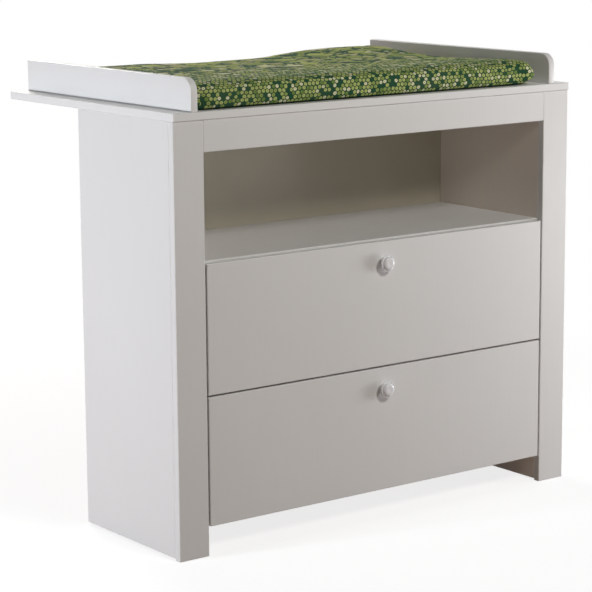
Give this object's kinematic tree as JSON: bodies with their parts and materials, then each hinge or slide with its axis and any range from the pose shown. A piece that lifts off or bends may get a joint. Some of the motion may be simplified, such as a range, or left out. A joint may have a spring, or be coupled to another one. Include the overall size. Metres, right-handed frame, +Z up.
{
  "type": "changing table",
  "caption": "White changing table: a chest with an open compartment over wide drawers with round knobs, and a deep top board with low end rails that holds a padded dotted mat.",
  "frame": {"origin": "on the floor, in the middle of the whole footprint", "axes": "+Z up, +X to the right seen from the front, and the front with the drawers faces -Y"},
  "size_m": [1.05, 0.649, 0.966],
  "materials": {
    "white_coating": "white melamine coating on chipboard, satin, with a faint foil grain and banded edges",
    "white_foil": "white paper foil on chipboard, matt",
    "white_hardboard": "thin hardboard, white lacquered on its shown face",
    "bare_chipboard": "raw chipboard",
    "beech": "turned beech, unfinished",
    "zinc_screws": "bright zinc plate",
    "zinc_sheet": "zinc-plated sheet steel",
    "cast_fittings": "die-cast zinc alloy, dull",
    "runner_steel": "sheet steel with cream epoxy powder coating",
    "roller_plastic": "white nylon",
    "glide_plastic": "grey polyethylene",
    "knob_lacquer": "white lacquer, glossy",
    "dotted_cloth": "coated cotton over foam, printed with small and large dots in greens and cream on dark green"
  },
  "bodies": {
    "chest": {"changing_board": "white_coating", "guard_rail_left": "white_coating", "guard_rail_right": "white_coating", "guard_rail_screws": "zinc_screws", "angle_brackets": "zinc_sheet", "angle_bracket_screws": "zinc_screws", "wall_brackets": "zinc_sheet", "wall_bracket_screws": "zinc_screws", "side_panel_left": "white_coating", "side_panel_right": "white_coating", "inner_side_left": "white_coating", "inner_side_right": "white_coating", "side_battens_left": "bare_chipboard", "side_battens_right": "bare_chipboard", "stile_left": "white_coating", "stile_right": "white_coating", "front_rail": "white_coating", "rear_rail": "white_coating", "shelf": "white_coating", "base_panel": "white_coating", "back_panel": "white_hardboard", "back_panel_screws": "zinc_screws", "floor_glides": "glide_plastic", "cam_bolts": "zinc_screws", "cam_nuts": "cast_fittings", "dowels": "beech", "cabinet_runner_upper_left": "runner_steel", "cabinet_runner_upper_right": "runner_steel", "cabinet_runner_lower_left": "runner_steel", "cabinet_runner_lower_right": "runner_steel", "cabinet_runner_screws": "zinc_screws"},
    "mat": {"changing_mat": "dotted_cloth"},
    "cabinet_roller_upper_left": {"cabinet_roller_upper_left": "roller_plastic"},
    "cabinet_roller_upper_right": {"cabinet_roller_upper_right": "roller_plastic"},
    "upper_drawer": {"upper_drawer_front": "white_coating", "upper_drawer_side_left": "white_foil", "upper_drawer_side_right": "white_foil", "upper_drawer_back": "white_foil", "upper_drawer_bottom": "white_hardboard", "upper_drawer_knob": "knob_lacquer", "upper_drawer_knob_screw": "zinc_screws", "upper_drawer_runner_left": "runner_steel", "upper_drawer_runner_right": "runner_steel", "upper_drawer_fixings": "zinc_screws"},
    "upper_drawer_roller_left": {"upper_drawer_roller_left": "roller_plastic"},
    "upper_drawer_roller_right": {"upper_drawer_roller_right": "roller_plastic"},
    "cabinet_roller_lower_left": {"cabinet_roller_lower_left": "roller_plastic"},
    "cabinet_roller_lower_right": {"cabinet_roller_lower_right": "roller_plastic"},
    "lower_drawer": {"lower_drawer_front": "white_coating", "lower_drawer_side_left": "white_foil", "lower_drawer_side_right": "white_foil", "lower_drawer_back": "white_foil", "lower_drawer_bottom": "white_hardboard", "lower_drawer_knob": "knob_lacquer", "lower_drawer_knob_screw": "zinc_screws", "lower_drawer_runner_left": "runner_steel", "lower_drawer_runner_right": "runner_steel", "lower_drawer_fixings": "zinc_screws"},
    "lower_drawer_roller_left": {"lower_drawer_roller_left": "roller_plastic"},
    "lower_drawer_roller_right": {"lower_drawer_roller_right": "roller_plastic"}
  },
  "joints": [
    {"name": "upper_drawer_slide", "type": "slide", "parent": "chest", "child": "upper_drawer", "axis": [0, -1, 0], "range_m": [0, 0.23]},
    {"name": "cabinet_roller_upper_left_spin", "type": "hinge", "parent": "chest", "child": "cabinet_roller_upper_left", "pos_m": [-0.4479, -0.2705, 0.3795], "axis": [1, 0, 0], "continuous": true},
    {"name": "upper_drawer_roller_left_spin", "type": "hinge", "parent": "upper_drawer", "child": "upper_drawer_roller_left", "pos_m": [-0.4456, -0.0005, 0.3795], "axis": [1, 0, 0], "continuous": true},
    {"name": "cabinet_roller_upper_right_spin", "type": "hinge", "parent": "chest", "child": "cabinet_roller_upper_right", "pos_m": [0.4479, -0.2705, 0.3795], "axis": [1, 0, 0], "continuous": true},
    {"name": "upper_drawer_roller_right_spin", "type": "hinge", "parent": "upper_drawer", "child": "upper_drawer_roller_right", "pos_m": [0.4456, -0.0005, 0.3795], "axis": [1, 0, 0], "continuous": true},
    {"name": "lower_drawer_slide", "type": "slide", "parent": "chest", "child": "lower_drawer", "axis": [0, -1, 0], "range_m": [0, 0.23]},
    {"name": "cabinet_roller_lower_left_spin", "type": "hinge", "parent": "chest", "child": "cabinet_roller_lower_left", "pos_m": [-0.4479, -0.2705, 0.109], "axis": [1, 0, 0], "continuous": true},
    {"name": "lower_drawer_roller_left_spin", "type": "hinge", "parent": "lower_drawer", "child": "lower_drawer_roller_left", "pos_m": [-0.4456, -0.0005, 0.109], "axis": [1, 0, 0], "continuous": true},
    {"name": "cabinet_roller_lower_right_spin", "type": "hinge", "parent": "chest", "child": "cabinet_roller_lower_right", "pos_m": [0.4479, -0.2705, 0.109], "axis": [1, 0, 0], "continuous": true},
    {"name": "lower_drawer_roller_right_spin", "type": "hinge", "parent": "lower_drawer", "child": "lower_drawer_roller_right", "pos_m": [0.4456, -0.0005, 0.109], "axis": [1, 0, 0], "continuous": true},
    {"name": "mat_lift", "type": "slide", "parent": "chest", "child": "mat", "axis": [0, 0, 1], "range_m": [0, 0.2]}
  ],
  "couplings": [
    {"joint": "cabinet_roller_upper_left_spin", "follows": "upper_drawer_slide", "rad_per_m": 117.65},
    {"joint": "upper_drawer_roller_left_spin", "follows": "upper_drawer_slide", "rad_per_m": 117.65},
    {"joint": "cabinet_roller_upper_right_spin", "follows": "upper_drawer_slide", "rad_per_m": 117.65},
    {"joint": "upper_drawer_roller_right_spin", "follows": "upper_drawer_slide", "rad_per_m": 117.65},
    {"joint": "cabinet_roller_lower_left_spin", "follows": "lower_drawer_slide", "rad_per_m": 117.65},
    {"joint": "lower_drawer_roller_left_spin", "follows": "lower_drawer_slide", "rad_per_m": 117.65},
    {"joint": "cabinet_roller_lower_right_spin", "follows": "lower_drawer_slide", "rad_per_m": 117.65},
    {"joint": "lower_drawer_roller_right_spin", "follows": "lower_drawer_slide", "rad_per_m": 117.65}
  ]
}
